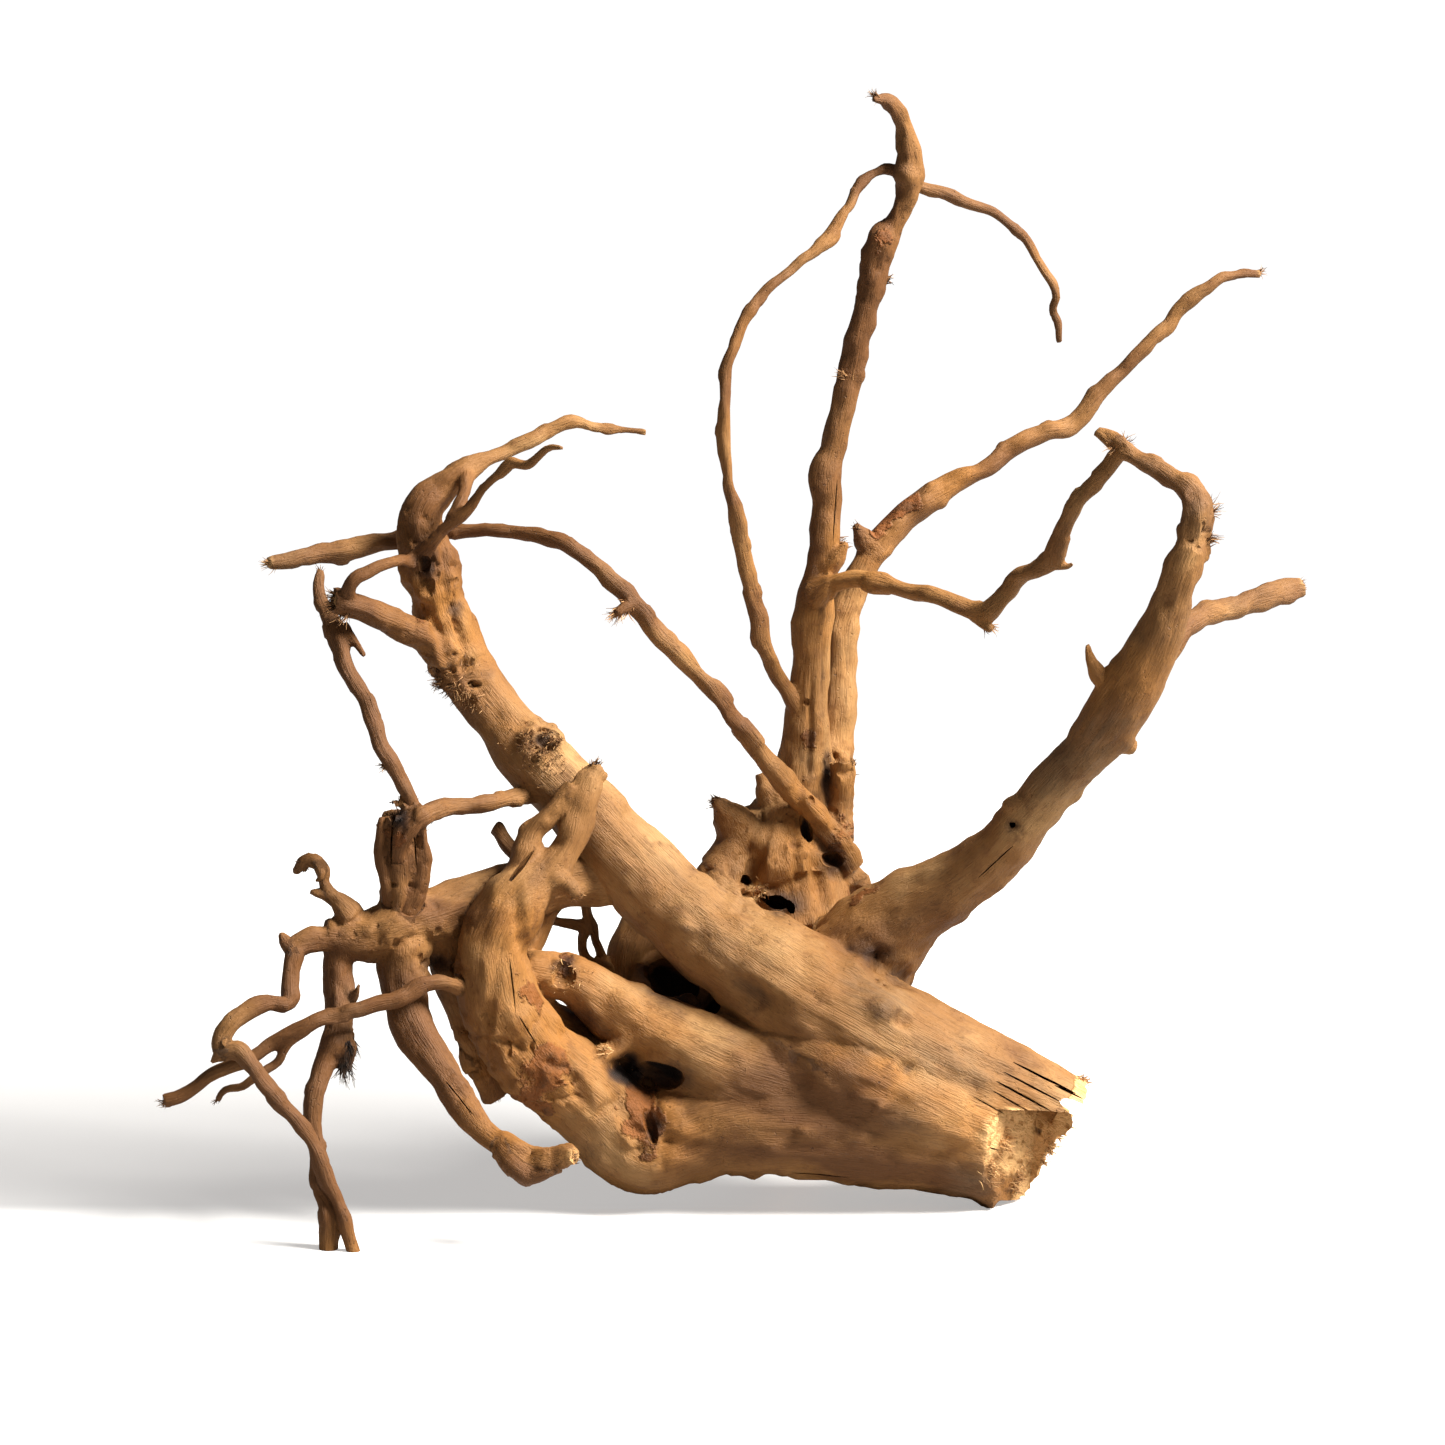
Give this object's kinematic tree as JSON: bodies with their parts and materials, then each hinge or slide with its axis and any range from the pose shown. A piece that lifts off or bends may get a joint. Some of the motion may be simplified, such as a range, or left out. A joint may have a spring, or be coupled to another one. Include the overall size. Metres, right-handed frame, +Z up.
{
  "type": "piece of spiderwood",
  "caption": "Natural branching root wood for an aquarium or terrarium: a thick twisted trunk, torn off at one end, that splits into hooked, looping and wiry roots",
  "frame": {"origin": "on the ground, below the middle of the wood's bounding box", "axes": "+Z up, +X towards the torn thick end, -Y towards the side in the picture"},
  "size_m": [0.4546, 0.2128, 0.4448],
  "materials": {
    "root_wood": "bare, dry and matt"
  },
  "bodies": {
    "root": {"spiderwood": "root_wood"}
  },
  "joints": []
}
